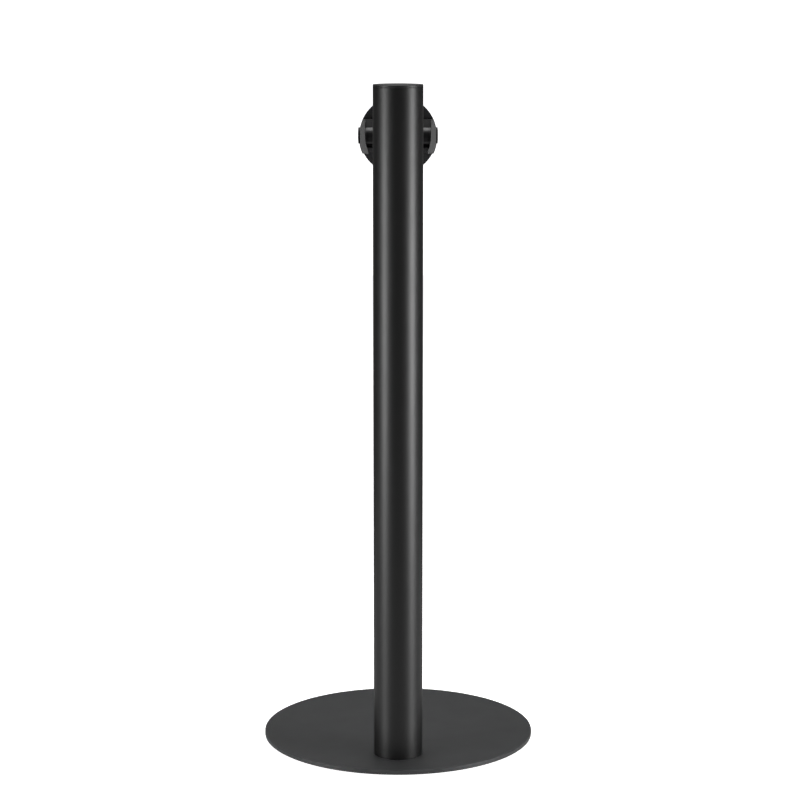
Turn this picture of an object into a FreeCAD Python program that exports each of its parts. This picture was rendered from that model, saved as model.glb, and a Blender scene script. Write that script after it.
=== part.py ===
import FreeCAD, Part
import math
import os

# Rope barrier stanchion: a round post on an offset round base, with a tilting round head
# behind the top of the post. Millimetres, +Z up. The origin is the centre of the base's
# underside. The post stands towards -Y and its head faces +Y.

# Driving dimensions
mat_radius = 174.0
mat_thickness = 1.0
base_radius = 180.0
base_thickness = 6.0
base_edge_round = 0.8
post_offset = 107.0
post_radius = 31.75
post_wall = 2.0
post_top_height = 876.0
cap_flange = 3.0
cap_spigot_length = 18.0
axle_below_top = 67.5
axle_behind_post = 60.0
head_radius = 50.0
head_drop = 1.2
head_back = 20.0
face_thickness = 6.0
band_half_height = 21.0
barrel_radius = 10.5
barrel_half_length = 39.5
axle_radius = 7.0
socket_radius = 5.0
socket_depth = 20.0
end_piece_radius = 10.5
left_tip = 51.5
right_tip = 51.4
end_dome_radius = 92.0

# Small fits and finishing sizes
press_gap = 0.02
fit_gap = 0.05
head_sink = 0.2
loose_gap = 0.3
tiny_edge = 0.4
small_edge = 1.0
recess_share = 0.45
recess_depth_share = 0.6

# Places worked out from the driving dimensions
plate_top = mat_thickness + base_thickness
post_y = -post_offset
tube_inside = post_radius - post_wall
tube_top = post_top_height - cap_flange
axle_y = post_y + axle_behind_post
axle_z = post_top_height - axle_below_top

X_AXIS = FreeCAD.Vector(1, 0, 0)
Y_AXIS = FreeCAD.Vector(0, 1, 0)
Z_AXIS = FreeCAD.Vector(0, 0, 1)
AXLE = FreeCAD.Vector(0, axle_y, axle_z)
HEAD = FreeCAD.Vector(0, axle_y, axle_z - head_drop)
FOOT = FreeCAD.Vector(0, post_y, 0)


def turned(profile, centre, direction):
    """Solid of revolution. The profile is (radius, distance along the axis) points."""
    points = [FreeCAD.Vector(radius, 0, along) for radius, along in profile]
    face = Part.Face(Part.makePolygon(points + points[:1]))
    solid = face.revolve(FreeCAD.Vector(), Z_AXIS, 360)
    turn = FreeCAD.Rotation(Z_AXIS, direction)
    solid.Placement = FreeCAD.Placement(centre, turn)
    return solid


def rod(radius, start, end, centre, direction):
    """Cylinder between two distances along an axis through the centre."""
    return Part.makeCylinder(radius, end - start, centre + direction * start, direction)


def ring(outer, inner, start, end, centre, direction):
    """Straight tube between two distances along an axis through the centre."""
    return rod(outer, start, end, centre, direction).cut(rod(inner, start, end, centre, direction))


def block(x_span, y_span, z_span, centre):
    """Box given by its low and high limits from the centre."""
    size = [high - low for low, high in (x_span, y_span, z_span)]
    corner = centre + FreeCAD.Vector(x_span[0], y_span[0], z_span[0])
    return Part.makeBox(*size, corner)


def side_profile(points, half_width):
    """Bar along X whose section is (Y, Z) points from the axle."""
    corners = [AXLE + FreeCAD.Vector(-half_width, y, z) for y, z in points]
    face = Part.Face(Part.makePolygon(corners + corners[:1]))
    return face.extrude(FreeCAD.Vector(2 * half_width, 0, 0))


def top_profile(points, half_height):
    """Upright bar whose section is (X, Y) points from the head's centre."""
    corners = [HEAD + FreeCAD.Vector(x, y, -half_height) for x, y in points]
    face = Part.Face(Part.makePolygon(corners + corners[:1]))
    return face.extrude(FreeCAD.Vector(0, 0, 2 * half_height))


def countersunk_screw(shank, head, length, tip, direction):
    """Flat-headed screw. The tip is its far end and the head's flat face looks along direction."""
    cone_depth = head - shank
    recess_depth = cone_depth * recess_depth_share
    recess = head * recess_share
    body = turned(
        [(0, 0), (shank, 0), (shank, length - cone_depth), (head, length), (0, length)],
        tip,
        direction,
    )
    drive = [
        (0, length - recess_depth),
        (recess, length - recess_depth),
        (recess, length + small_edge),
        (0, length + small_edge),
    ]
    return body.cut(turned(drive, tip, direction))


def save(name, shape):
    shape.exportStep("parts/" + name + ".step")


os.makedirs("parts", exist_ok=True)

# Floor mat: rubber disc stuck under the base plate
save("floor_mat", rod(mat_radius, 0, mat_thickness, FreeCAD.Vector(), Z_AXIS))

# Base screws: four in a ring round the post's axis
screw_ring_radius = 20.0
screw_ring_start = 45
base_screw_radius = 3.0
base_screw_head = 6.0
base_screw_length = 20.0
base_screw_clearance = 3.3
base_screw_places = []
for quarter in range(4):
    angle = math.radians(screw_ring_start + 90 * quarter)
    offset = FreeCAD.Vector(math.cos(angle), math.sin(angle), 0) * screw_ring_radius
    base_screw_places.append(FOOT + offset)
screw_face_z = mat_thickness + head_sink
base_screw_tip = Z_AXIS * (screw_face_z + base_screw_length)
base_screws = [
    countersunk_screw(
        base_screw_radius,
        base_screw_head,
        base_screw_length,
        place + base_screw_tip,
        -Z_AXIS,
    )
    for place in base_screw_places
]
save("base_screws", Part.makeCompound(base_screws))

# Base plate: round plate with softened edges and countersunk holes
base_plate = rod(base_radius, mat_thickness, plate_top, FreeCAD.Vector(), Z_AXIS)
base_plate = base_plate.makeFillet(base_edge_round, base_plate.Edges)
countersink_depth = base_screw_head - base_screw_clearance + tiny_edge
for place in base_screw_places:
    hole = turned(
        [
            (0, mat_thickness - small_edge),
            (base_screw_head + small_edge + tiny_edge, mat_thickness - small_edge),
            (base_screw_clearance, mat_thickness + countersink_depth),
            (base_screw_clearance, plate_top + small_edge),
            (0, plate_top + small_edge),
        ],
        place,
        Z_AXIS,
    )
    base_plate = base_plate.cut(hole)
save("base_plate", base_plate)

# Foot plug: steel plug in the bottom of the tube, tapped for the base screws
plug_height = 30.0
plug_bore = 10.0
foot_plug = ring(tube_inside - press_gap, plug_bore, plate_top, plate_top + plug_height, FOOT, Z_AXIS)
for place in base_screw_places:
    tapped_hole = rod(base_screw_radius + fit_gap, plate_top, plate_top + plug_height, place, Z_AXIS)
    foot_plug = foot_plug.cut(tapped_hole)
save("foot_plug", foot_plug)

# Post tube: straight tube with two holes for the saddle screws
saddle_screw_radius = 3.0
saddle_screw_clearance = 3.3
saddle_screw_spacing = 30.0
post_tube = turned(
    [
        (tube_inside, plate_top),
        (post_radius - tiny_edge, plate_top),
        (post_radius, plate_top + tiny_edge),
        (post_radius, tube_top - tiny_edge),
        (post_radius - tiny_edge, tube_top),
        (tube_inside, tube_top),
    ],
    FOOT,
    Z_AXIS,
)
saddle_screw_places = [
    FreeCAD.Vector(0, post_y, axle_z + side * saddle_screw_spacing) for side in (-1, 1)
]
for place in saddle_screw_places:
    post_tube = post_tube.cut(rod(saddle_screw_clearance, 0, post_radius + small_edge, place, Y_AXIS))
save("post_tube", post_tube)

# Top cap: moulded cap with a hollow spigot and a groove for its rubber ring
spigot_radius = tube_inside - loose_gap
spigot_wall = 4.2
spigot_bottom = tube_top - cap_spigot_length
cap_edge_round = 0.7
ring_section = 1.2
ring_centre_radius = tube_inside - press_gap - ring_section
ring_below_flange = 9.0
ring_z = tube_top - ring_below_flange
groove_floor = ring_centre_radius - ring_section - press_gap
groove_side_gap = 0.2
groove_half = ring_section + groove_side_gap
top_cap = turned(
    [
        (0, post_top_height),
        (post_radius - cap_edge_round, post_top_height),
        (post_radius, post_top_height - cap_edge_round),
        (post_radius, tube_top + tiny_edge),
        (post_radius - tiny_edge, tube_top),
        (spigot_radius, tube_top),
        (spigot_radius, ring_z + groove_half),
        (groove_floor, ring_z + groove_half),
        (groove_floor, ring_z - groove_half),
        (spigot_radius, ring_z - groove_half),
        (spigot_radius, spigot_bottom + small_edge),
        (spigot_radius - small_edge, spigot_bottom),
        (spigot_radius - spigot_wall, spigot_bottom),
        (spigot_radius - spigot_wall, tube_top),
        (0, tube_top),
    ],
    FOOT,
    Z_AXIS,
)
save("top_cap", top_cap)
save("cap_ring", Part.makeTorus(ring_centre_radius, ring_section, FOOT + Z_AXIS * ring_z, Z_AXIS))

# Backing plate: curved plate inside the tube, tapped for the saddle screws
backing_half_width = 15.0
backing_half_height = 40.0
backing_inside = 22.0
backing_centre = FreeCAD.Vector(0, post_y, axle_z)
backing_outside = tube_inside - press_gap
backing_plate = rod(backing_outside, -backing_half_height, backing_half_height, backing_centre, Z_AXIS)
backing_plate = backing_plate.common(
    block(
        (-backing_half_width, backing_half_width),
        (backing_inside, tube_inside),
        (-backing_half_height, backing_half_height),
        backing_centre,
    )
)
for place in saddle_screw_places:
    backing_plate = backing_plate.cut(rod(saddle_screw_radius + fit_gap, 0, post_radius, place, Y_AXIS))
save("backing_plate", backing_plate)

# Saddle bracket: pad that fits the tube, neck, and the barrel that the head turns on
saddle_half_width = 24.0
saddle_half_height = 42.0
saddle_face = 38.0
neck_half_width = 22.0
neck_root_half = 15.0
neck_tip_half = 7.2
bush_outside = 8.6
bush_length = 14.0
barrel_bore = 8.0
pad_end_height = saddle_half_height - saddle_half_width
pad = block(
    (-saddle_half_width, saddle_half_width),
    (0, saddle_face),
    (-pad_end_height, pad_end_height),
    backing_centre,
)
for side in (-1, 1):
    pad_end = backing_centre + Z_AXIS * (side * pad_end_height)
    pad = pad.fuse(rod(saddle_half_width, 0, saddle_face, pad_end, Y_AXIS))
pad = pad.removeSplitter().cut(
    rod(post_radius + press_gap, -saddle_half_height, saddle_half_height, backing_centre, Z_AXIS)
)
pad = max(pad.Solids, key=lambda solid: solid.CenterOfMass.y)
saddle_depth = saddle_face - axle_behind_post
neck = side_profile(
    [
        (saddle_depth - small_edge, -neck_root_half),
        (saddle_depth, -neck_root_half),
        (-neck_tip_half, -neck_tip_half),
        (0, -neck_tip_half),
        (0, neck_tip_half),
        (-neck_tip_half, neck_tip_half),
        (saddle_depth, neck_root_half),
        (saddle_depth - small_edge, neck_root_half),
    ],
    neck_half_width,
)
barrel = rod(barrel_radius, -barrel_half_length, barrel_half_length, AXLE, X_AXIS)
saddle_bracket = pad.fuse([neck, barrel]).removeSplitter()
barrel_hole = rod(barrel_bore, -barrel_half_length, barrel_half_length, AXLE, X_AXIS)
saddle_bracket = saddle_bracket.cut(barrel_hole)
for side in (-1, 1):
    seat = rod(bush_outside, barrel_half_length - bush_length, barrel_half_length, AXLE, X_AXIS * side)
    saddle_bracket = saddle_bracket.cut(seat)
for place in saddle_screw_places:
    saddle_bracket = saddle_bracket.cut(rod(saddle_screw_clearance, 0, axle_behind_post, place, Y_AXIS))
save("saddle_bracket", saddle_bracket)

# Saddle screws and washers: two socket head screws through the pad into the backing plate
washer_radius = 6.0
washer_thickness = 1.2
cap_head_radius = 5.0
cap_head_height = 6.0
key_socket = 2.5
saddle_shank_start = 18.0
head_seat = saddle_face + washer_thickness
head_end = head_seat + cap_head_height
saddle_screws = []
saddle_washers = []
for place in saddle_screw_places:
    screw = turned(
        [
            (0, saddle_shank_start),
            (saddle_screw_radius, saddle_shank_start),
            (saddle_screw_radius, head_seat),
            (cap_head_radius, head_seat),
            (cap_head_radius, head_end - tiny_edge),
            (cap_head_radius - tiny_edge, head_end),
            (key_socket, head_end),
            (key_socket, head_end - cap_head_height / 2),
            (0, head_end - cap_head_height / 2),
        ],
        place,
        Y_AXIS,
    )
    saddle_screws.append(screw)
    washer = ring(washer_radius, saddle_screw_clearance, saddle_face, head_seat, place, Y_AXIS)
    saddle_washers.append(washer)
save("saddle_screws", Part.makeCompound(saddle_screws))
save("saddle_washers", Part.makeCompound(saddle_washers))

# Bushes and friction washers: one of each at both ends of the barrel
flange_radius = 10.3
flange_thickness = 1.2
friction_thickness = 1.2
friction_radius = 10.0
axle_fit = axle_radius + fit_gap
flange_end = barrel_half_length + flange_thickness
friction_start = flange_end + fit_gap
friction_end = friction_start + friction_thickness
for name, outward in (("left", -X_AXIS), ("right", X_AXIS)):
    bush = turned(
        [
            (axle_fit, barrel_half_length - bush_length),
            (bush_outside - press_gap, barrel_half_length - bush_length),
            (bush_outside - press_gap, barrel_half_length),
            (flange_radius, barrel_half_length),
            (flange_radius, flange_end),
            (axle_fit, flange_end),
        ],
        AXLE,
        outward,
    )
    save("bush_" + name, bush)
    friction_washer = ring(friction_radius, axle_fit, friction_start, friction_end, AXLE, outward)
    save("friction_washer_" + name, friction_washer)

# Yoke: casting across the back of the head, open towards the post, with a cheek at each end
pocket_half_length = friction_end + fit_gap
pocket_above = 10.9
pocket_below = 15.0
pocket_floor = 13.0
wall_start = 2.0
wall_slope = 5.0
cheek_start = -17.4
cheek_slope = 5.4
cheek_slope_from = 38.0
lip_end = -11.0
lip_radius = 41.7
left_spot_face = 48.5
right_spot_face = 44.5
spot_radius = end_piece_radius + loose_gap
flat_half = 6.2
yoke_screw_radius = 2.0
yoke_screw_reach = 10.0
yoke_screw_spots = [(x, z) for x in (-33.0, 33.0) for z in (-17.0, 17.0)]
band_above = band_half_height - head_drop
band_below = band_half_height + head_drop
pocket_width = (-pocket_half_length, pocket_half_length)
yoke = rod(head_radius, cheek_start, head_back, HEAD, Y_AXIS)
yoke = yoke.common(
    block(
        (-head_radius, head_radius),
        (cheek_start, head_back),
        (-band_half_height, band_half_height),
        HEAD,
    )
)
yoke = yoke.cut(block(pocket_width, (lip_end, pocket_floor), (-pocket_below, pocket_above), AXLE))
yoke = yoke.cut(block(pocket_width, (lip_end, wall_start), (-band_below, band_above), AXLE))
yoke = yoke.cut(block(pocket_width, (cheek_start, lip_end), (0, band_above), AXLE))
below_lip = block(pocket_width, (cheek_start, lip_end), (-band_below, 0), AXLE)
yoke = yoke.cut(below_lip.common(rod(lip_radius, cheek_start, lip_end, HEAD, Y_AXIS)))
for inner, outer in ((pocket_above, band_above), (-pocket_below, -band_below)):
    wall_bevel = side_profile(
        [(wall_start, inner), (wall_start + wall_slope, outer), (wall_start, outer)],
        pocket_half_length,
    )
    yoke = yoke.cut(wall_bevel)
for side in (-1, 1):
    cheek_bevel = top_profile(
        [
            (side * cheek_slope_from, cheek_start),
            (side * head_radius, cheek_start + cheek_slope),
            (side * head_radius, cheek_start),
        ],
        band_half_height,
    )
    yoke = yoke.cut(cheek_bevel)
flat_hole = rod(axle_fit, 0, head_radius, AXLE, -X_AXIS).common(
    block(
        (-head_radius, 0),
        (-flat_half - fit_gap, flat_half + fit_gap),
        (-band_half_height, band_half_height),
        AXLE,
    )
)
yoke = yoke.cut(flat_hole).cut(rod(axle_fit, 0, head_radius, AXLE, X_AXIS))
yoke = yoke.cut(rod(spot_radius, left_spot_face, head_radius + small_edge, AXLE, -X_AXIS))
yoke = yoke.cut(rod(spot_radius, right_spot_face, head_radius + small_edge, AXLE, X_AXIS))
for side in (-1, 1):
    seat_opening = sorted((side * left_spot_face, side * (head_radius + small_edge)))
    yoke = yoke.cut(block(seat_opening, (cheek_start, 0), (-spot_radius, spot_radius), AXLE))
for x, z in yoke_screw_spots:
    place = HEAD + FreeCAD.Vector(x, 0, z)
    yoke = yoke.cut(rod(yoke_screw_radius + fit_gap, yoke_screw_reach, head_back, place, Y_AXIS))
save("yoke", yoke)

# Face plate: round head disc, with countersunk holes for the yoke and four tapped holes
yoke_screw_head = 4.0
sign_hole_radius = 2.5
sign_hole_spacing = 50.0
face_plate = turned(
    [
        (0, head_back),
        (head_radius - tiny_edge, head_back),
        (head_radius, head_back + tiny_edge),
        (head_radius, head_back + face_thickness - small_edge),
        (head_radius - small_edge, head_back + face_thickness),
        (0, head_back + face_thickness),
    ],
    HEAD,
    Y_AXIS,
)
face_front = head_back + face_thickness
screw_clearance = 2.2
cone_start = face_front - (yoke_screw_head - screw_clearance) - loose_gap
for x, z in yoke_screw_spots:
    hole = turned(
        [
            (0, head_back - small_edge),
            (screw_clearance, head_back - small_edge),
            (screw_clearance, cone_start),
            (screw_clearance + face_front + small_edge - cone_start, face_front + small_edge),
            (0, face_front + small_edge),
        ],
        HEAD + FreeCAD.Vector(x, 0, z),
        Y_AXIS,
    )
    face_plate = face_plate.cut(hole)
for x in (-sign_hole_spacing / 2, sign_hole_spacing / 2):
    for z in (-sign_hole_spacing / 2, sign_hole_spacing / 2):
        place = HEAD + FreeCAD.Vector(x, 0, z)
        face_plate = face_plate.cut(rod(sign_hole_radius, head_back, face_front, place, Y_AXIS))
save("face_plate", face_plate)

# Yoke screws: four countersunk screws through the face plate into the yoke
yoke_screw_end = face_front - head_sink
yoke_screw_tip = yoke_screw_reach + small_edge
yoke_screws = [
    countersunk_screw(
        yoke_screw_radius,
        yoke_screw_head,
        yoke_screw_end - yoke_screw_tip,
        HEAD + FreeCAD.Vector(x, yoke_screw_tip, z),
        Y_AXIS,
    )
    for x, z in yoke_screw_spots
]
save("yoke_screws", Part.makeCompound(yoke_screws))

# Axle: pin with a domed button at the left, and a round blind rope socket in each end
mouth_edge = 1.0
flats_end = pocket_half_length - small_edge
shank_recess = 0.5
shank_end = right_tip - shank_recess
button = rod(end_piece_radius, left_spot_face, left_tip, AXLE, -X_AXIS)
button = button.common(Part.makeSphere(end_dome_radius, AXLE + X_AXIS * (end_dome_radius - left_tip)))
shank = rod(axle_radius, -left_spot_face, shank_end, AXLE, X_AXIS)
flat_zone = block(
    (-left_spot_face, -flats_end),
    (-axle_radius, axle_radius),
    (-axle_radius, axle_radius),
    AXLE,
)
flat_core = block(
    (-left_spot_face, -flats_end),
    (-flat_half, flat_half),
    (-axle_radius, axle_radius),
    AXLE,
)
shank = shank.cut(flat_zone.cut(flat_core))
axle = button.fuse(shank).removeSplitter()
for outward, mouth in ((-X_AXIS, left_tip), (X_AXIS, shank_end)):
    bottom = mouth - socket_depth
    socket = turned(
        [
            (0, bottom),
            (socket_radius, bottom),
            (socket_radius, mouth - mouth_edge),
            (socket_radius + 2 * mouth_edge, mouth + mouth_edge),
            (0, mouth + mouth_edge),
        ],
        AXLE,
        outward,
    )
    axle = axle.cut(socket)
save("axle", axle)

# Disc springs: a pair of dished washers, rim to rim, in the right cheek under the nut
nut_inner_face = 46.7
spring_thickness = 0.7
spring_outside = 10.4
spring_inside = 7.2
spring_middle = (right_spot_face + nut_inner_face) / 2
springs = []
for seat, towards in ((right_spot_face, 1), (nut_inner_face, -1)):
    springs.append(
        turned(
            [
                (spring_inside, seat),
                (spring_inside, seat + towards * spring_thickness),
                (spring_outside, spring_middle),
                (spring_outside, spring_middle - towards * spring_thickness),
            ],
            AXLE,
            X_AXIS,
        )
    )
save("disc_springs", Part.makeCompound(springs))

# Axle nut: slotted ring nut on the right end of the axle
slot_half_width = 1.5
slot_depth = 1.2
quarter_start = 45
axle_nut = ring(end_piece_radius, axle_fit, nut_inner_face, right_tip, AXLE, X_AXIS)
nut_dome_centre = AXLE - X_AXIS * (end_dome_radius - right_tip)
axle_nut = axle_nut.common(Part.makeSphere(end_dome_radius, nut_dome_centre))
for quarter in range(4):
    slot = block(
        (right_tip - slot_depth, right_tip),
        (-slot_half_width, slot_half_width),
        (axle_radius, end_piece_radius + small_edge),
        AXLE,
    )
    slot.rotate(AXLE, X_AXIS, quarter_start + 90 * quarter)
    axle_nut = axle_nut.cut(slot)
save("axle_nut", axle_nut)
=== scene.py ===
import math

import bpy
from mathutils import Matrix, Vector


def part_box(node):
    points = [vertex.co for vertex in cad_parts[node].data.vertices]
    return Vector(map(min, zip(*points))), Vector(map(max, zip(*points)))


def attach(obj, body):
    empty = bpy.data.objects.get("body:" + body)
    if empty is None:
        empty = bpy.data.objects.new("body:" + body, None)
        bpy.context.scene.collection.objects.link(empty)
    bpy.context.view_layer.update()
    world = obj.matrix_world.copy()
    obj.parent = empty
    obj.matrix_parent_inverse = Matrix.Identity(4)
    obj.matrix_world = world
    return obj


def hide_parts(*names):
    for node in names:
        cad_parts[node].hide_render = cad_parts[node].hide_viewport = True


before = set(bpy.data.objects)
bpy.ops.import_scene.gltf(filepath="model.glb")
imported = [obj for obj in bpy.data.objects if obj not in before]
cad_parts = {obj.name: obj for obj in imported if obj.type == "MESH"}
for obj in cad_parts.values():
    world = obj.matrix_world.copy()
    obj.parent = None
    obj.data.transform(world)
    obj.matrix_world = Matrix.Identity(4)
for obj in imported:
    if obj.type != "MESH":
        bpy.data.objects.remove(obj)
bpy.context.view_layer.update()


# Floor mat. A thin rubber disc cut from sheet and stuck under the base plate, so that the
# steel doesn't mark the floor. Its rim shows only as a dark line round the foot of the base.

MM = 0.001


def new_material(name, colour, roughness, metallic=0.0, specular=0.5):
    """A named material with the values that are the same all over its surface."""
    material = bpy.data.materials.new(name)
    material.use_nodes = True
    shader = material.node_tree.nodes["Principled BSDF"]
    shader.inputs["Base Color"].default_value = (*colour, 1.0)
    shader.inputs["Roughness"].default_value = roughness
    shader.inputs["Metallic"].default_value = metallic
    shader.inputs["Specular IOR Level"].default_value = specular
    return material, shader


def grain(material, size, stretch=(1, 1, 1), detail=3.0):
    """A noise pattern fixed to the piece, with spots of about the given size in metres."""
    tree = material.node_tree
    place = tree.nodes.new("ShaderNodeTexCoord")
    mapping = tree.nodes.new("ShaderNodeMapping")
    mapping.inputs["Scale"].default_value = stretch
    noise = tree.nodes.new("ShaderNodeTexNoise")
    noise.inputs["Scale"].default_value = 1.0 / size
    noise.inputs["Detail"].default_value = detail
    tree.links.new(place.outputs["Object"], mapping.inputs["Vector"])
    tree.links.new(mapping.outputs["Vector"], noise.inputs["Vector"])
    return noise.outputs["Fac"]


def vary_roughness(material, shader, pattern, low, high):
    """Roughness that drifts between two values with a pattern."""
    tree = material.node_tree
    spread = tree.nodes.new("ShaderNodeMapRange")
    spread.inputs["From Min"].default_value = 0.3
    spread.inputs["From Max"].default_value = 0.7
    spread.inputs["To Min"].default_value = low
    spread.inputs["To Max"].default_value = high
    tree.links.new(pattern, spread.inputs["Value"])
    tree.links.new(spread.outputs["Result"], shader.inputs["Roughness"])


def vary_colour(material, shader, pattern, dark, light):
    """Colour that drifts between two shades with a pattern."""
    tree = material.node_tree
    ramp = tree.nodes.new("ShaderNodeValToRGB")
    ramp.color_ramp.elements[0].position = 0.35
    ramp.color_ramp.elements[0].color = (*dark, 1.0)
    ramp.color_ramp.elements[1].position = 0.65
    ramp.color_ramp.elements[1].color = (*light, 1.0)
    tree.links.new(pattern, ramp.inputs["Fac"])
    tree.links.new(ramp.outputs["Color"], shader.inputs["Base Color"])


def raise_grain(material, shader, pattern, height, strength=1.0):
    """Small bumps of the given height in metres."""
    tree = material.node_tree
    bump = tree.nodes.new("ShaderNodeBump")
    bump.inputs["Distance"].default_value = height
    bump.inputs["Strength"].default_value = strength
    tree.links.new(pattern, bump.inputs["Height"])
    tree.links.new(bump.outputs["Normal"], shader.inputs["Normal"])


def dress(piece, material):
    """Gives a new piece its one material."""
    piece.data.materials.clear()
    piece.data.materials.append(material)


def dress_node(name, material):
    """Gives a designed piece a better material."""
    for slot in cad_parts[name].material_slots:
        slot.material = material


mat_rubber, shader = new_material("sheet_rubber", (0.02, 0.02, 0.02), 0.8, specular=0.3)
vary_colour(mat_rubber, shader, grain(mat_rubber, 8 * MM), (0.016,) * 3, (0.024,) * 3)
raise_grain(mat_rubber, shader, grain(mat_rubber, 0.6 * MM), 0.05 * MM)
dress_node("floor_mat", mat_rubber)


# Base plate. A round plate cut from 6 mm steel sheet, its edges broken all round, with four
# countersunk holes from below. Powder coated in a flat, fine-grained black.


def pick(piece):
    """Selects one piece and nothing else."""
    bpy.ops.object.select_all(action="DESELECT")
    piece.select_set(True)
    bpy.context.view_layer.objects.active = piece


def settle(piece):
    """Puts a piece's place into its mesh."""
    pick(piece)
    bpy.ops.object.transform_apply(location=True, rotation=True, scale=True)


def face_along(piece, centre, towards):
    """Turns a piece drawn along +Z to point another way from a centre."""
    piece.rotation_mode = "QUATERNION"
    piece.rotation_quaternion = Vector((0, 0, 1)).rotation_difference(Vector(towards))
    piece.location = centre
    settle(piece)


def start_line(name, place):
    """Begins a drawn line with one point, and leaves the piece open for editing."""
    bpy.ops.object.select_all(action="DESELECT")
    bpy.ops.mesh.primitive_plane_add(size=MM)
    piece = bpy.context.active_object
    piece.name = piece.data.name = name
    bpy.ops.object.mode_set(mode="EDIT")
    bpy.ops.mesh.select_all(action="SELECT")
    bpy.ops.mesh.merge(type="CENTER")
    bpy.ops.transform.translate(value=place)
    return piece


def draw_on(step):
    """Extends the drawn line by a step from its last point."""
    bpy.ops.mesh.extrude_region_move(TRANSFORM_OT_translate={"value": step})


def turned(name, outline, centre, towards, steps=192):
    """A turned piece. The outline is (radius, distance along the axis) points in metres."""
    here = outline[0]
    piece = start_line(name, (here[0], 0, here[1]))
    closing = [outline[0]] if here[0] > 0 else []
    for there in outline[1:] + closing:
        draw_on((there[0] - here[0], 0, there[1] - here[1]))
        here = there
    bpy.ops.mesh.select_all(action="SELECT")
    bpy.ops.mesh.spin(steps=steps, angle=2 * math.pi, center=(0, 0, 0), axis=(0, 0, 1))
    bpy.ops.mesh.select_all(action="SELECT")
    bpy.ops.mesh.remove_doubles(threshold=0.001 * MM)
    bpy.ops.mesh.normals_make_consistent(inside=False)
    bpy.ops.object.mode_set(mode="OBJECT")
    face_along(piece, centre, towards)
    return piece


def finish_with(piece, kind, **settings):
    """Adds a modifier with these settings and applies it."""
    pick(piece)
    modifier = piece.modifiers.new(kind.lower(), kind)
    for key, value in settings.items():
        setattr(modifier, key, value)
    bpy.ops.object.modifier_apply(modifier=modifier.name)


def round_edges(piece, width, segments=3, sharper_than=35):
    """Rounds every edge that turns by more than an angle in degrees."""
    finish_with(
        piece,
        "BEVEL",
        width=width,
        segments=segments,
        limit_method="ANGLE",
        angle_limit=math.radians(sharper_than),
    )


def combine(piece, other, how="DIFFERENCE"):
    """Cuts a shape away from a piece or joins it on."""
    finish_with(piece, "BOOLEAN", object=other, operation=how, solver="EXACT")
    bpy.data.objects.remove(other)


def smooth(piece, sharper_than=40):
    """Smooth shading that keeps flats flat and true edges crisp."""
    pick(piece)
    bpy.ops.object.shade_smooth_by_angle(angle=math.radians(sharper_than))
    finish_with(piece, "WEIGHTED_NORMAL", keep_sharp=True)


def place_piece(piece, body, slot, *nodes):
    """Hands a finished piece over: attaches it to what it moves with and hides the designed parts it
    replaces. The slot is not used.
    """
    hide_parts(*nodes)
    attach(piece, body)


def powder_coat(name, colour, roughness, specular, peel=0.012):
    """Powder coat: a slightly uneven shade and sheen over a fine orange peel."""
    material, shader = new_material(name, colour, roughness, specular=specular)
    darker = [c * 0.96 for c in colour]
    lighter = [c * 1.05 for c in colour]
    vary_colour(material, shader, grain(material, 30 * MM), darker, lighter)
    vary_roughness(material, shader, grain(material, 45 * MM), roughness - 0.012, roughness + 0.012)
    raise_grain(material, shader, grain(material, 0.7 * MM, detail=2.0), peel * MM)
    return material


UP = (0, 0, 1)
plate_low, plate_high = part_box("base_plate")
tube_low, tube_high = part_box("post_tube")
post = Vector(((tube_low.x + tube_high.x) / 2, (tube_low.y + tube_high.y) / 2, 0))

base_plate = turned(
    "base_plate_coated",
    [
        (0, plate_low.z),
        (plate_high.x, plate_low.z),
        (plate_high.x, plate_high.z),
        (0, plate_high.z),
    ],
    (0, 0, 0),
    UP,
    steps=256,
)
round_edges(base_plate, 0.8 * MM)
base_screw_ring = 20 * MM
screw_hole = 3.3 * MM
cone_depth = 3.1 * MM
cone_mouth = screw_hole + cone_depth + MM
for quarter in range(4):
    angle = math.radians(45 + 90 * quarter)
    spot = post + Vector((math.cos(angle), math.sin(angle), 0)) * base_screw_ring
    countersink = turned(
        "countersink",
        [
            (0, plate_low.z - MM),
            (cone_mouth, plate_low.z - MM),
            (screw_hole, plate_low.z + cone_depth),
            (screw_hole, plate_high.z + MM),
            (0, plate_high.z + MM),
        ],
        spot,
        UP,
        steps=48,
    )
    combine(base_plate, countersink)
smooth(base_plate)
plate_coat = powder_coat("plate_powder_coat", (0.036, 0.037, 0.038), 0.5, 0.4)
dress(base_plate, plate_coat)
place_piece(base_plate, "stand", "plate_powder_coat", "base_plate")


# Base screws and foot plug. Zinc plated countersunk screws go up through the plate into a
# turned steel plug welded inside the foot of the tube. They stay as designed, out of sight.


def plain_metal(name, colour, roughness, streak=(1, 1, 1)):
    """Bare or plated metal with fine machining marks."""
    material, shader = new_material(name, colour, roughness, metallic=1.0)
    darker = [c * 0.88 for c in colour]
    lighter = [min(1.0, c * 1.1) for c in colour]
    vary_colour(material, shader, grain(material, 4 * MM, streak), darker, lighter)
    marks = grain(material, 2 * MM, streak)
    vary_roughness(material, shader, marks, roughness - 0.06, roughness + 0.06)
    raise_grain(material, shader, grain(material, 0.4 * MM, streak), 0.006 * MM)
    return material


dress_node("base_screws", plain_metal("zinc_plate", (0.55, 0.56, 0.58), 0.3))
turned_steel = plain_metal("turned_steel", (0.42, 0.42, 0.43), 0.38, (1, 1, 4))
dress_node("foot_plug", turned_steel)


# Post tube. Straight 63.5 mm steel tube with a 2 mm wall, its ends deburred and two holes
# drilled for the saddle's screws. Powder coated in a smooth satin black.

tube_radius = tube_high.x - post.x
tube_wall = 2 * MM
tube_bore = tube_radius - tube_wall
head_centre = sum(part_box("axle"), Vector()) / 2
head_centre.x = 0
BACK = (0, 1, 0)

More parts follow.
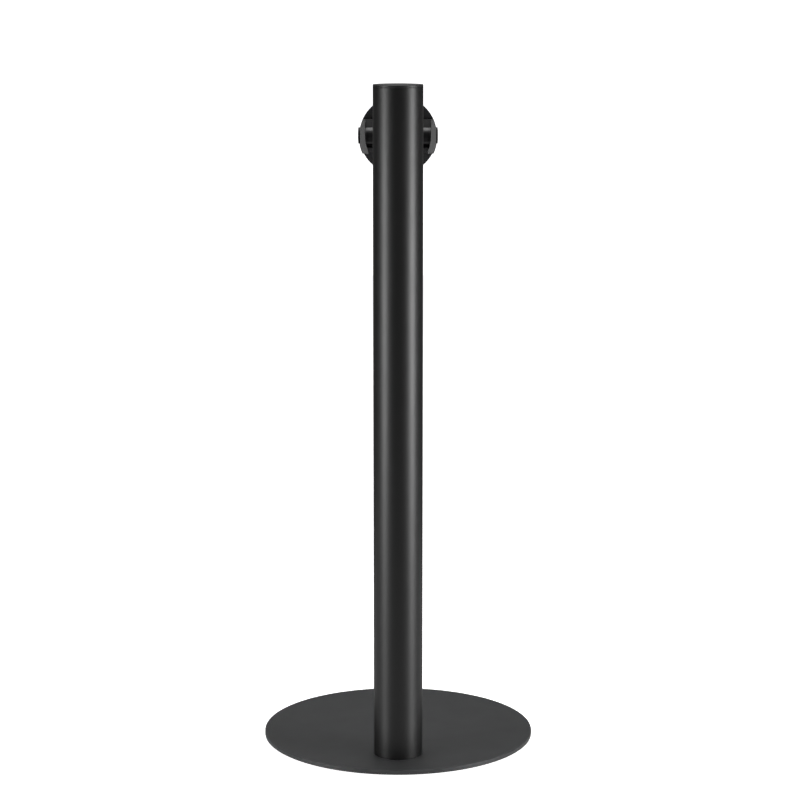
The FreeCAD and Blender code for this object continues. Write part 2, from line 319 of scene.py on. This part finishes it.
post_tube = turned(
    "post_tube_coated",
    [
        (tube_bore, tube_low.z),
        (tube_radius, tube_low.z),
        (tube_radius, tube_high.z),
        (tube_bore, tube_high.z),
    ],
    post,
    UP,
    steps=256,
)
round_edges(post_tube, 0.4 * MM)
saddle_screw_step = 30 * MM
saddle_screw_spots = [
    Vector((post.x, post.y, head_centre.z + side * saddle_screw_step)) for side in (-1, 1)
]


def drill_out(piece, radius, start, end, centre, towards):
    """Drills a plain round hole between two distances from a centre."""
    outline = [(0, start), (radius, start), (radius, end), (0, end)]
    combine(piece, turned("drill", outline, centre, towards, steps=48))


for spot in saddle_screw_spots:
    drill_out(post_tube, screw_hole, 0, 34 * MM, spot, BACK)
smooth(post_tube)
tube_coat = powder_coat("tube_powder_coat", (0.003, 0.003, 0.0031), 0.41, 0.5, peel=0.008)
dress(post_tube, tube_coat)
place_piece(post_tube, "stand", "tube_powder_coat", "post_tube")


# Top cap. Moulded black plastic, a flange that matches the tube's outside and a hollow
# spigot that pushes into it, held by the rubber ring in the spigot's groove.

cap_low, cap_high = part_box("top_cap")
ring_low, ring_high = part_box("cap_ring")
ring_middle = (ring_low.z + ring_high.z) / 2
groove_half = 1.4 * MM
ring_thickness = 2.4 * MM
groove_floor = ring_high.x - post.x - ring_thickness
spigot_gap = 0.3 * MM
spigot_wall = 4.2 * MM
spigot = tube_bore - spigot_gap
spigot_inside = spigot - spigot_wall
top_cap = turned(
    "top_cap_moulded",
    [
        (0, cap_high.z),
        (tube_radius, cap_high.z),
        (tube_radius, tube_high.z),
        (spigot, tube_high.z),
        (spigot, ring_middle + groove_half),
        (groove_floor, ring_middle + groove_half),
        (groove_floor, ring_middle - groove_half),
        (spigot, ring_middle - groove_half),
        (spigot, cap_low.z),
        (spigot_inside, cap_low.z),
        (spigot_inside, tube_high.z),
        (0, tube_high.z),
    ],
    post,
    UP,
    steps=256,
)
round_edges(top_cap, 0.45 * MM, segments=4)
smooth(top_cap)


def moulded(name, colour, roughness):
    """Moulded plastic with a fine spark-eroded texture."""
    material, shader = new_material(name, colour, roughness, specular=0.45)
    darker = [c * 0.93 for c in colour]
    lighter = [c * 1.07 for c in colour]
    vary_colour(material, shader, grain(material, 12 * MM), darker, lighter)
    vary_roughness(material, shader, grain(material, 6 * MM), roughness - 0.03, roughness + 0.03)
    raise_grain(material, shader, grain(material, 0.35 * MM, detail=4.0), 0.015 * MM)
    return material


dress(top_cap, moulded("cap_plastic", (0.01, 0.01, 0.0103), 0.42))
place_piece(top_cap, "stand", "cap_plastic", "top_cap")

ring_rubber, shader = new_material("ring_rubber", (0.015, 0.015, 0.015), 0.7, specular=0.35)
vary_colour(ring_rubber, shader, grain(ring_rubber, 5 * MM), (0.012,) * 3, (0.018,) * 3)
raise_grain(ring_rubber, shader, grain(ring_rubber, 0.3 * MM), 0.01 * MM)
dress_node("cap_ring", ring_rubber)


# Saddle bracket. An aluminium casting: a pad hollowed to fit the tube, a short neck, and the
# barrel that the head turns on. Cast with soft corners, then bored and faced, and coated.

saddle_low, saddle_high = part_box("saddle_bracket")
pad_half_width = 24 * MM
pad_half_height = (saddle_high.z - saddle_low.z) / 2
pad_face = 38 * MM
pad_inside = 10 * MM
neck_half_width = 22 * MM
neck_root = 15 * MM
neck_tip = 7.2 * MM
barrel_half = saddle_high.x
barrel_radius = saddle_high.y - head_centre.y
LEFT = (-1, 0, 0)
RIGHT = (1, 0, 0)


def bar(name, points, half_width):
    """A straight bar across the head. Its outline is (Y, Z) points from the axle."""
    here = points[0]
    piece = start_line(name, (-half_width, head_centre.y + here[0], head_centre.z + here[1]))
    for there in points[1:]:
        draw_on((0, there[0] - here[0], there[1] - here[1]))
        here = there
    bpy.ops.mesh.select_all(action="SELECT")
    bpy.ops.mesh.edge_face_add()
    draw_on((2 * half_width, 0, 0))
    bpy.ops.mesh.select_all(action="SELECT")
    bpy.ops.mesh.normals_make_consistent(inside=False)
    bpy.ops.object.mode_set(mode="OBJECT")
    return piece


saddle = bar(
    "saddle_bracket_cast",
    [
        (pad_face - 3 * MM + post.y - head_centre.y, -neck_root),
        (pad_face + post.y - head_centre.y, -neck_root),
        (-neck_tip, -neck_tip),
        (0, -neck_tip),
        (0, neck_tip),
        (-neck_tip, neck_tip),
        (pad_face + post.y - head_centre.y, neck_root),
        (pad_face - 3 * MM + post.y - head_centre.y, neck_root),
    ],
    neck_half_width,
)
pad_middle = Vector((post.x, post.y, head_centre.z))
for side in (-1, 1):
    end = turned(
        "pad_end",
        [(0, pad_inside), (pad_half_width, pad_inside), (pad_half_width, pad_face), (0, pad_face)],
        pad_middle + Vector((0, 0, side * (pad_half_height - pad_half_width))),
        BACK,
        steps=96,
    )
    combine(saddle, end, "UNION")
straight = pad_half_height - pad_half_width
pad_middle_bar = bar(
    "pad_middle",
    [
        (pad_inside + post.y - head_centre.y, -straight),
        (pad_face + post.y - head_centre.y, -straight),
        (pad_face + post.y - head_centre.y, straight),
        (pad_inside + post.y - head_centre.y, straight),
    ],
    pad_half_width,
)
combine(saddle, pad_middle_bar, "UNION")
barrel_end = barrel_half + MM
barrel = turned(
    "barrel",
    [(0, -barrel_end), (barrel_radius, -barrel_end), (barrel_radius, barrel_end), (0, barrel_end)],
    head_centre,
    RIGHT,
    steps=128,
)
combine(saddle, barrel, "UNION")
finish_with(saddle, "REMESH", mode="VOXEL", voxel_size=0.8 * MM)
finish_with(saddle, "SMOOTH", factor=0.5, iterations=6)
seat_radius = tube_radius + 0.02 * MM
seat_reach = 60 * MM
seat = turned(
    "tube_seat",
    [(0, -seat_reach), (seat_radius, -seat_reach), (seat_radius, seat_reach), (0, seat_reach)],
    pad_middle,
    UP,
    steps=192,
)
combine(saddle, seat)
barrel_bore = 8 * MM
bush_radius = 8.6 * MM
bush_floor = barrel_half - 14 * MM
facing_radius = 20 * MM
for way in (LEFT, RIGHT):
    reamer = turned(
        "reamer",
        [
            (0, -MM),
            (barrel_bore, -MM),
            (barrel_bore, bush_floor),
            (bush_radius, bush_floor),
            (bush_radius, barrel_half),
            (facing_radius, barrel_half),
            (facing_radius, barrel_half + 4 * MM),
            (0, barrel_half + 4 * MM),
        ],
        head_centre,
        way,
        steps=96,
    )
    combine(saddle, reamer)
for spot in saddle_screw_spots:
    drill_out(saddle, screw_hole, 20 * MM, 60 * MM, spot, BACK)
smooth(saddle)
casting_paint = powder_coat("casting_powder_coat", (0.016, 0.016, 0.0164), 0.4, 0.42, peel=0.016)
dress(saddle, casting_paint)
place_piece(saddle, "stand", "casting_paint", "saddle_bracket")


# Backing plate, saddle washers and saddle screws. Two M6 socket head screws of blacked steel
# pull the pad against the tube. They screw into a curved, tapped plate inside it.

dress_node("backing_plate", turned_steel)
black_oxide = plain_metal("black_oxide", (0.012, 0.012, 0.0125), 0.45)
dress_node("saddle_washers", black_oxide)
screw_low, screw_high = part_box("saddle_screws")
head_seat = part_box("saddle_washers")[1].y - post.y
head_end = screw_high.y - post.y
screw_tip = screw_low.y - post.y
shank_radius = 3 * MM
screw_head_radius = 5 * MM


def socket_key(across, depth, top, centre, towards):
    """A six-sided key the size of a screw's socket. Across is corner to corner."""
    bpy.ops.object.select_all(action="DESELECT")
    bpy.ops.mesh.primitive_cylinder_add(vertices=6, radius=across / 2, depth=depth + MM)
    key = bpy.context.active_object
    key.name = "key"
    key.location = (0, 0, top - depth + (depth + MM) / 2)
    settle(key)
    face_along(key, centre, towards)
    return key


for number, spot in enumerate(saddle_screw_spots):
    screw = turned(
        f"saddle_screw_{number + 1}",
        [
            (0, screw_tip),
            (shank_radius, screw_tip),
            (shank_radius, head_seat),
            (screw_head_radius, head_seat),
            (screw_head_radius, head_end),
            (0, head_end),
        ],
        spot,
        BACK,
        steps=72,
    )
    round_edges(screw, 0.35 * MM)
    combine(screw, socket_key(5.77 * MM, 3 * MM, head_end, spot, BACK))
    smooth(screw)
    dress(screw, black_oxide)
    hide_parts("saddle_screws")
    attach(screw, "stand")


# Bushes and friction washers. Flanged bearing-plastic bushes pressed into both ends of the
# barrel, with a thin washer of the same plastic between each flange and the head's cheek.

bearing_plastic = moulded("bearing_plastic", (0.035, 0.035, 0.036), 0.5)
for name in ("bush_left", "bush_right", "friction_washer_left", "friction_washer_right"):
    dress_node(name, bearing_plastic)


# Yoke. An aluminium casting across the back of the head, open towards the post, with a cheek
# at each end that the axle goes through. The seats for the axle's button and nut are open
# towards the post. Spot faced and bored, then coated.

face_low, face_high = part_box("face_plate")
yoke_low, yoke_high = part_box("yoke")
head_radius = face_high.x
disc_centre = Vector((0, head_centre.y, (face_low.z + face_high.z) / 2))
band_half = (yoke_high.z - yoke_low.z) / 2
band_above = yoke_high.z - head_centre.z
band_below = head_centre.z - yoke_low.z
cheek_start = yoke_low.y - head_centre.y
cheek_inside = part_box("friction_washer_right")[1].x + 0.05 * MM
cheek_flat = 38 * MM
cheek_normal = (5.4, -12)
DOWN_AXIS = (0, -1, 0)


def band(name, radius, half_height, start, end):
    """A slice of the head's disc between two heights, from one depth to another."""
    corner = math.sqrt(radius**2 - half_height**2)
    turn = 2 * math.asin(half_height / radius)
    centre = disc_centre + Vector((0, start, 0))
    piece = start_line(name, centre + Vector((-corner, 0, half_height)))
    draw_on((2 * corner, 0, 0))
    bpy.ops.mesh.spin(steps=24, angle=turn, center=centre, axis=DOWN_AXIS)
    draw_on((-2 * corner, 0, 0))
    bpy.ops.mesh.spin(steps=24, angle=turn, center=centre, axis=DOWN_AXIS)
    bpy.ops.mesh.select_all(action="SELECT")
    bpy.ops.mesh.remove_doubles(threshold=0.01 * MM)
    bpy.ops.mesh.edge_face_add()
    draw_on((0, end - start, 0))
    bpy.ops.mesh.select_all(action="SELECT")
    bpy.ops.mesh.normals_make_consistent(inside=False)
    return piece


yoke = band("yoke_cast", head_radius, band_half, cheek_start, face_low.y - head_centre.y)
for side in (-1, 1):
    bpy.ops.mesh.select_all(action="SELECT")
    bpy.ops.mesh.bisect(
        plane_co=(side * cheek_flat, head_centre.y + cheek_start, head_centre.z),
        plane_no=Vector((side * cheek_normal[0], cheek_normal[1], 0)).normalized(),
        use_fill=True,
        clear_outer=True,
    )
bpy.ops.object.mode_set(mode="OBJECT")

lip_end = -11 * MM
above = 10.9 * MM
below = 15 * MM
beyond = 3 * MM
pocket_floor = 13 * MM
wall_start = 2 * MM
wall_lean = 5 * MM


def leaned(inner, outer):
    """Where a wall's leaning back face lies, a little past the edge of the casting."""
    return wall_start + wall_lean * (outer + beyond - inner) / (outer - inner)


pocket = bar(
    "pocket",
    [
        (lip_end, -band_below - beyond),
        (leaned(below, band_below), -band_below - beyond),
        (wall_start, -below),
        (pocket_floor, -below),
        (pocket_floor, above),
        (wall_start, above),
        (leaned(above, band_above), band_above + beyond),
        (lip_end, band_above + beyond),
    ],
    cheek_inside,
)
combine(yoke, pocket)
opening_end = lip_end + 0.01 * MM
open_above = bar(
    "open_above",
    [
        (cheek_start - beyond, 0),
        (opening_end, 0),
        (opening_end, band_above + beyond),
        (cheek_start - beyond, band_above + beyond),
    ],
    cheek_inside,
)
combine(yoke, open_above)
lip_radius = 41.7 * MM
lip_cut = band("lip_cut", lip_radius, band_half + 2 * MM, cheek_start - beyond, opening_end)
bpy.ops.mesh.select_all(action="SELECT")
bpy.ops.mesh.bisect(plane_co=head_centre, plane_no=(0, 0, 1), use_fill=True, clear_outer=True)
bpy.ops.object.mode_set(mode="OBJECT")
combine(yoke, lip_cut)


def round_chosen(piece, chosen, width, segments=3):
    """Rounds only the edges whose middle passes a test."""
    pick(piece)
    bpy.ops.object.mode_set(mode="EDIT")
    bpy.ops.mesh.select_all(action="DESELECT")
    bpy.ops.object.mode_set(mode="OBJECT")
    points = piece.data.vertices
    for edge in piece.data.edges:
        middle = (points[edge.vertices[0]].co + points[edge.vertices[1]].co) / 2
        edge.select = chosen(middle)
    bpy.ops.object.mode_set(mode="EDIT")
    bpy.ops.mesh.select_mode(type="EDGE")
    bpy.ops.mesh.bevel(offset=width, segments=segments)
    bpy.ops.mesh.select_mode(type="VERT")
    bpy.ops.object.mode_set(mode="OBJECT")


def on_lower_mouth(middle):
    """True on the lower wall's inner edge, next to the pocket."""
    spot = middle - head_centre
    near = 0.05 * MM
    return abs(spot.x) < cheek_inside and abs(spot.y - wall_start) < near and abs(spot.z + below) < near


round_chosen(yoke, on_lower_mouth, 2.2 * MM, segments=4)
round_edges(yoke, 0.6 * MM)
left_seat = 48.5 * MM
right_seat = 44.5 * MM
seat_end = 52 * MM
axle_hole = 7.05 * MM
spot_face = 10.8 * MM
for way, depth in ((LEFT, left_seat), (RIGHT, right_seat)):
    reamer = turned(
        "reamer",
        [
            (0, 30 * MM),
            (axle_hole, 30 * MM),
            (axle_hole, depth),
            (spot_face, depth),
            (spot_face, seat_end),
            (0, seat_end),
        ],
        head_centre,
        way,
        steps=96,
    )
    combine(yoke, reamer)
opening_width = 4 * MM
opening_depth = 18 * MM
for side in (-1, 1):
    bpy.ops.object.select_all(action="DESELECT")
    bpy.ops.mesh.primitive_cube_add(size=1, scale=(opening_width, opening_depth, 2 * spot_face))
    seat_opening = bpy.context.active_object
    middle_x = side * (left_seat + opening_width / 2)
    seat_opening.location = head_centre + Vector((middle_x, -opening_depth / 2, 0))
    settle(seat_opening)
    combine(yoke, seat_opening)
smooth(yoke)
dress(yoke, casting_paint)
place_piece(yoke, "head", "casting_paint", "yoke")


# Face plate. The round front of the head, turned from 6 mm aluminium plate and coated, with
# four countersunk holes for its screws and four tapped holes for a sign or notice holder.

face_plate = turned(
    "face_plate_turned",
    [
        (0, face_low.y - head_centre.y),
        (head_radius, face_low.y - head_centre.y),
        (head_radius, face_high.y - head_centre.y),
        (0, face_high.y - head_centre.y),
    ],
    disc_centre,
    BACK,
    steps=192,
)
round_edges(face_plate, 0.7 * MM)
face_front = face_high.y - head_centre.y
face_screw_x = 33 * MM
face_screw_z = 17 * MM
face_screw_spots = [
    disc_centre + Vector((x * face_screw_x, 0, z * face_screw_z)) for x in (-1, 1) for z in (-1, 1)
]
drill_start = face_front - 8 * MM
face_screw_hole = 2.2 * MM
sign_hole = 2.5 * MM
for spot in face_screw_spots:
    countersink = turned(
        "countersink",
        [
            (0, drill_start),
            (face_screw_hole, drill_start),
            (face_screw_hole, face_front - 2.1 * MM),
            (5.3 * MM, face_front + MM),
            (0, face_front + MM),
        ],
        spot,
        BACK,
        steps=48,
    )
    combine(face_plate, countersink)
for x in (-25 * MM, 25 * MM):
    for z in (-25 * MM, 25 * MM):
        tap = turned(
            "tap",
            [
                (0, drill_start),
                (sign_hole, drill_start),
                (sign_hole, face_front - 0.4 * MM),
                (3.9 * MM, face_front + MM),
                (0, face_front + MM),
            ],
            disc_centre + Vector((x, 0, z)),
            BACK,
            steps=48,
        )
        combine(face_plate, tap)
smooth(face_plate)
dress(face_plate, casting_paint)
place_piece(face_plate, "head", "casting_paint", "face_plate")


# Face screws. Four M4 countersunk socket screws of blacked steel, flush with the face plate.

yoke_screw_low, yoke_screw_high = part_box("yoke_screws")
tip = yoke_screw_low.y - head_centre.y
top = yoke_screw_high.y - head_centre.y
for number, spot in enumerate(face_screw_spots):
    screw = turned(
        f"face_screw_{number + 1}",
        [(0, tip), (2 * MM, tip), (2 * MM, top - 2 * MM), (4 * MM, top), (0, top)],
        spot,
        BACK,
        steps=64,
    )
    round_edges(screw, 0.15 * MM)
    combine(screw, socket_key(2.9 * MM, 1.4 * MM, top, spot, BACK))
    smooth(screw)
    dress(screw, black_oxide)
    place_piece(screw, "head", "black_steel", "yoke_screws")


# Axle. A turned steel pin with a domed button on its left end and a blind socket in each end
# for a rope's pin. Blacked. Its flats in the left cheek are out of sight and left round.

axle_low, axle_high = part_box("axle")
nut_low, nut_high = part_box("axle_nut")
button_radius = (axle_high.z - axle_low.z) / 2
left_tip = -axle_low.x
dome_radius = 92 * MM
axle_radius = 7 * MM
socket = 5 * MM
socket_depth = 20 * MM


def dome(radius, tip):
    """Where a shallow dome's surface lies at a radius."""
    return tip - dome_radius + math.sqrt(dome_radius**2 - radius**2)


dome_steps = 6


def dome_outline(inner, tip):
    """Points on the dome from the button's rim in to a smaller radius."""
    radii = [button_radius - (button_radius - inner) * i / dome_steps for i in range(dome_steps + 1)]
    return [(radius, dome(radius, tip)) for radius in radii]


axle = turned(
    "axle_turned",
    [
        (0, -axle_high.x),
        (axle_radius, -axle_high.x),
        (axle_radius, left_seat),
        (button_radius, left_seat),
    ]
    + dome_outline(socket + MM, left_tip)
    + [(socket, left_tip - MM), (socket, left_tip - socket_depth), (0, left_tip - socket_depth)],
    head_centre,
    LEFT,
    steps=128,
)
right_socket = turned(
    "right_socket",
    [
        (0, axle_high.x - socket_depth),
        (socket, axle_high.x - socket_depth),
        (socket, axle_high.x - MM),
        (axle_radius, axle_high.x + MM),
        (0, axle_high.x + MM),
    ],
    head_centre,
    RIGHT,
    steps=96,
)
combine(axle, right_socket)
smooth(axle)
dress(axle, black_oxide)
place_piece(axle, "head", "black_steel", "axle")


# Disc springs and axle nut. A pair of blued dished springs in the right cheek sets how stiffly
# the head turns. A slotted domed ring nut of blacked steel presses on them.

dress_node("disc_springs", plain_metal("blued_spring", (0.1, 0.1, 0.12), 0.32))
right_tip = nut_high.x
axle_nut = turned(
    "axle_nut_turned",
    [(axle_hole, nut_low.x), (button_radius, nut_low.x)] + dome_outline(axle_hole, right_tip),
    head_centre,
    RIGHT,
    steps=128,
)
nut_slot = (2.4 * MM, 3 * MM, 6 * MM)
for quarter in range(4):
    bpy.ops.object.select_all(action="DESELECT")
    bpy.ops.mesh.primitive_cube_add(size=1, scale=nut_slot)
    slot_cutter = bpy.context.active_object
    slot_cutter.location = (right_tip, 0, 9.5 * MM)
    settle(slot_cutter)
    slot_cutter.rotation_euler.x = math.radians(45 + 90 * quarter)
    slot_cutter.location = head_centre
    settle(slot_cutter)
    combine(axle_nut, slot_cutter)
smooth(axle_nut)
dress(axle_nut, black_oxide)
place_piece(axle_nut, "head", "black_steel", "axle_nut")


# The studio. A plain white floor and four white walls that only the camera sees, two tall
# softboxes in front and to the sides with their light again from below as off a bright floor,
# a glow from the floor all round, one softbox overhead and a dim one behind.


def flat_panel(name, size, place, towards, strength):
    """A plain white sheet that faces a point, glows evenly and lights nothing."""
    bpy.ops.object.select_all(action="DESELECT")
    bpy.ops.mesh.primitive_plane_add(size=1, location=place)
    sheet = bpy.context.active_object
    sheet.name = name
    sheet.scale = (*size, 1)
    aim = Vector(towards) - Vector(place)
    sheet.rotation_euler = aim.to_track_quat("Z", "Y").to_euler()
    settle(sheet)
    material, shader = new_material(name, (0.9, 0.9, 0.9), 1.0, specular=0.0)
    shader.inputs["Emission Color"].default_value = (1, 1, 1, 1)
    shader.inputs["Emission Strength"].default_value = strength
    dress(sheet, material)
    sheet.visible_glossy = False
    sheet.visible_diffuse = False
    sheet.visible_shadow = False


def softbox(name, width, height, place, towards, power):
    """A rectangular softbox that faces a point."""
    data = bpy.data.lights.new(name, "AREA")
    data.shape = "RECTANGLE"
    data.size = width
    data.size_y = height
    data.energy = power
    lamp = bpy.data.objects.new(name, data)
    bpy.context.scene.collection.objects.link(lamp)
    lamp.location = place
    lamp.visible_camera = False
    lamp.rotation_euler = (Vector(towards) - Vector(place)).to_track_quat("-Z", "Y").to_euler()


flat_panel("floor", (14, 14), (0, 0, 0), (0, 0, 1), 0.95)
for number, (x, y) in enumerate(((0, 5), (5, 0), (0, -5), (-5, 0))):
    flat_panel(f"surround_{number + 1}", (16, 9), (x, y, 3), (0, 0, 3), 1.2)

reach = 1.6
lamp_height = 0.455
bounce_height = -0.52
bounce_share = 0.22
for name, angle, power in (("left", -64, 16.5), ("right", 68, 23.5)):
    x = post.x + math.sin(math.radians(angle)) * reach
    y = post.y - math.cos(math.radians(angle)) * reach
    aim = (post.x, post.y, lamp_height)
    low_aim = (post.x, post.y, bounce_height)
    softbox("softbox_" + name, 0.62, 0.85, (x, y, lamp_height), aim, power)
    softbox("floor_bounce_" + name, 0.62, 1.0, (x, y, bounce_height), low_aim, power * bounce_share)
softbox("floor_glow", 3.0, 2.2, (post.x, post.y - 0.2, -0.03), (post.x, post.y - 0.2, 1), 8)
softbox("softbox_overhead", 1.6, 2.0, (0, 0.3, 2.6), (0, 0.1, 0), 42)
softbox("softbox_rear", 3.0, 2.0, (0, 3.0, 1.1), (0, 0, 0.5), 2.8)

world = bpy.data.worlds.new("studio")
bpy.context.scene.world = world
world.use_nodes = True
world.node_tree.nodes["Background"].inputs["Color"].default_value = (1, 1, 1, 1)
world.node_tree.nodes["Background"].inputs["Strength"].default_value = 0.09

camera_data = bpy.data.cameras.new("camera")
camera_data.lens = 106.9
camera_data.sensor_width = 36
camera = bpy.data.objects.new("camera", camera_data)
camera.location = (0.0025, post.y - 2.9849, 1.0087)
camera.rotation_euler = (math.radians(90 - 10.116), 0, 0)
bpy.context.scene.collection.objects.link(camera)
bpy.context.scene.camera = camera
bpy.context.scene.view_settings.view_transform = "Standard"
